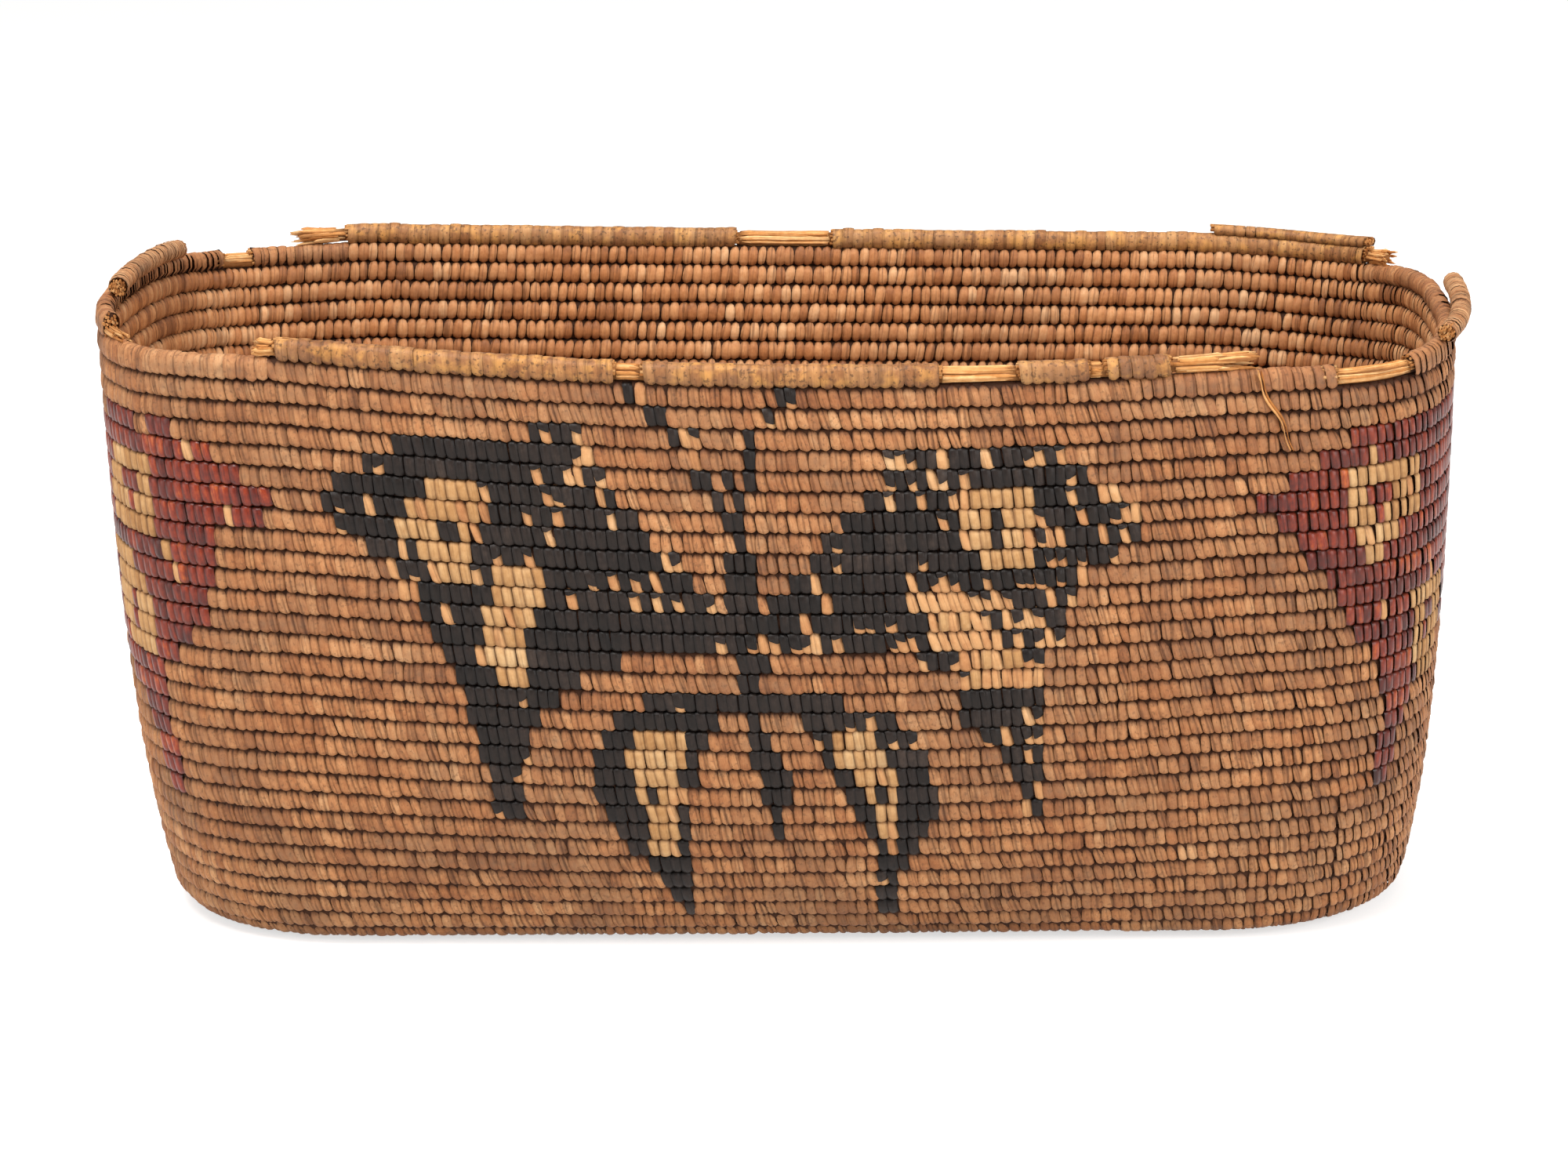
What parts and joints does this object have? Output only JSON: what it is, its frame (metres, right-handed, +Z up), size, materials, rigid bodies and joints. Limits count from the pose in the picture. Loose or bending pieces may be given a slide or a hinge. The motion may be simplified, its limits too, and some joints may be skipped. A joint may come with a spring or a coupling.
{
  "type": "imbricated basket",
  "caption": "Long open basket coiled from split root, with sewn courses, a flat oval base, a flared wall with bulging long sides, and a worn rim coil with broken and frayed lengths",
  "frame": {"origin": "under the middle of the basket, on the surface that it rests on", "axes": "+X to the right along the long front wall, +Y from the front wall to the back wall, +Z up out of the opening"},
  "size_m": [0.4158, 0.209, 0.2101],
  "materials": {
    "sewn_root": "split root sewn close over the coil, dry and matte, tan brown",
    "worn_whipping": "worn root whipping of the rim, golden brown with dark specks, slightly polished by hands",
    "bare_root": "bare split root fibres, pale and matte"
  },
  "bodies": {
    "root": {"base_coil": "sewn_root", "edge_coil": "sewn_root", "wall_coil_01": "sewn_root", "wall_coil_02": "sewn_root", "wall_coil_03": "sewn_root", "wall_coil_04": "sewn_root", "wall_coil_05": "sewn_root", "wall_coil_06": "sewn_root", "wall_coil_07": "sewn_root", "wall_coil_08": "sewn_root", "wall_coil_09": "sewn_root", "wall_coil_10": "sewn_root", "wall_coil_11": "sewn_root", "wall_coil_12": "sewn_root", "wall_coil_13": "sewn_root", "wall_coil_14": "sewn_root", "wall_coil_15": "sewn_root", "wall_coil_16": "sewn_root", "wall_coil_17": "sewn_root", "wall_coil_18": "sewn_root", "wall_coil_19": "sewn_root", "wall_coil_20": "sewn_root", "wall_coil_21": "sewn_root", "wall_coil_22": "sewn_root", "wall_coil_23": "sewn_root", "wall_coil_24": "sewn_root", "wall_coil_25": "sewn_root", "wall_coil_26": "sewn_root", "wall_coil_27": "sewn_root", "wall_coil_28": "sewn_root", "wall_coil_29": "sewn_root", "wall_coil_30": "sewn_root", "wall_coil_31": "sewn_root", "wall_coil_31_left": "sewn_root", "wall_coil_31_right": "sewn_root", "rim_whip_front_left": "worn_whipping", "rim_whip_front_middle": "worn_whipping", "rim_whip_front_right": "worn_whipping", "rim_whip_front_end": "worn_whipping", "rim_whip_right_end": "worn_whipping", "rim_whip_back_right": "worn_whipping", "rim_whip_back_left": "worn_whipping", "rim_whip_left_end": "worn_whipping", "rim_double_back_right": "worn_whipping", "rim_bundle_front_left": "bare_root", "rim_bundle_front_middle": "bare_root", "rim_bundle_front_right": "bare_root", "rim_bundle_right_corner": "bare_root", "rim_bundle_back": "bare_root", "wall_bundle_back_left": "bare_root", "rim_fray_front_left": "bare_root", "broken_splints_front": "bare_root", "rim_fray_back_right": "bare_root", "rim_fray_back_left": "bare_root", "hanging_splint": "bare_root"}
  },
  "joints": []
}
